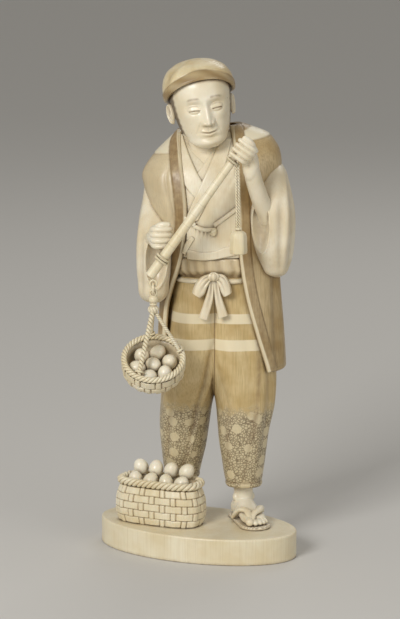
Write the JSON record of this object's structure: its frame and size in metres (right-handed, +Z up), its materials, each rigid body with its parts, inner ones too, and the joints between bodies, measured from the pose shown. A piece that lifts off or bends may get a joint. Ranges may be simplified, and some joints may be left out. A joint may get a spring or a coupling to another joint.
{
  "type": "okimono carving",
  "caption": "Carved standing egg seller holding a steelyard with a hanging basket of eggs and a swinging weight, on an oval plinth beside a woven floor basket of eggs.",
  "frame": {"origin": "centre of the plinth's flat underside", "axes": "+Z up, the figure looks along -Y, +X is its left side; the plinth's long axis is turned 25 degrees from X"},
  "size_m": [0.0988, 0.087, 0.2488],
  "materials": {
    "pale_ivory": "satin",
    "egg_ivory": "satin",
    "basket_ivory": "satin",
    "tan_ivory": "satin",
    "ochre_ivory": "satin",
    "steelyard_ivory": "satin"
  },
  "bodies": {
    "figure": {"oval_plinth": "pale_ivory", "foot_dowels": "pale_ivory", "basket_dowel": "pale_ivory", "left_sandal": "pale_ivory", "right_sandal": "pale_ivory", "left_thong": "pale_ivory", "right_thong": "pale_ivory", "left_foot": "pale_ivory", "right_foot": "pale_ivory", "trousers": "ochre_ivory", "waist_dowel": "pale_ivory", "waist_cord": "pale_ivory", "waist_bow": "pale_ivory", "robe_trunk": "pale_ivory", "belly_apron": "pale_ivory", "apron_toggle": "steelyard_ivory", "sleeveless_vest": "tan_ivory", "left_sleeve": "pale_ivory", "right_sleeve": "pale_ivory", "sleeve_dowels": "pale_ivory", "left_hand": "pale_ivory", "right_hand": "pale_ivory", "head": "pale_ivory", "soft_cap": "tan_ivory", "scale_beam": "steelyard_ivory", "beam_eye": "basket_ivory", "fulcrum_loop": "steelyard_ivory", "floor_basket": "basket_ivory", "floor_basket_rim": "basket_ivory", "floor_basket_eggs": "egg_ivory"},
    "weight": {"weight_cord": "steelyard_ivory", "scale_weight": "steelyard_ivory"},
    "link": {"hanger_link": "basket_ivory"},
    "basket": {"hanger_knot": "basket_ivory", "hanger_rope_front": "basket_ivory", "hanger_rope_right": "basket_ivory", "hanger_rope_back": "basket_ivory", "hanging_basket": "basket_ivory", "hanging_basket_rim": "basket_ivory", "hanging_basket_eggs": "egg_ivory"}
  },
  "joints": [
    {"name": "weight_swing", "type": "hinge", "parent": "figure", "child": "weight", "pos_m": [0.01661, -0.032, 0.20241], "axis": [0.5777, 0, 0.8162], "range_deg": [-20, 6]},
    {"name": "link_swing", "type": "hinge", "parent": "figure", "child": "link", "pos_m": [-0.02192, -0.032, 0.14211], "axis": [0, 1, 0], "range_deg": [-15, 15]},
    {"name": "basket_swing", "type": "hinge", "parent": "link", "child": "basket", "pos_m": [-0.02192, -0.032, 0.13905], "axis": [1, 0, 0], "range_deg": [-20, 5]}
  ]
}
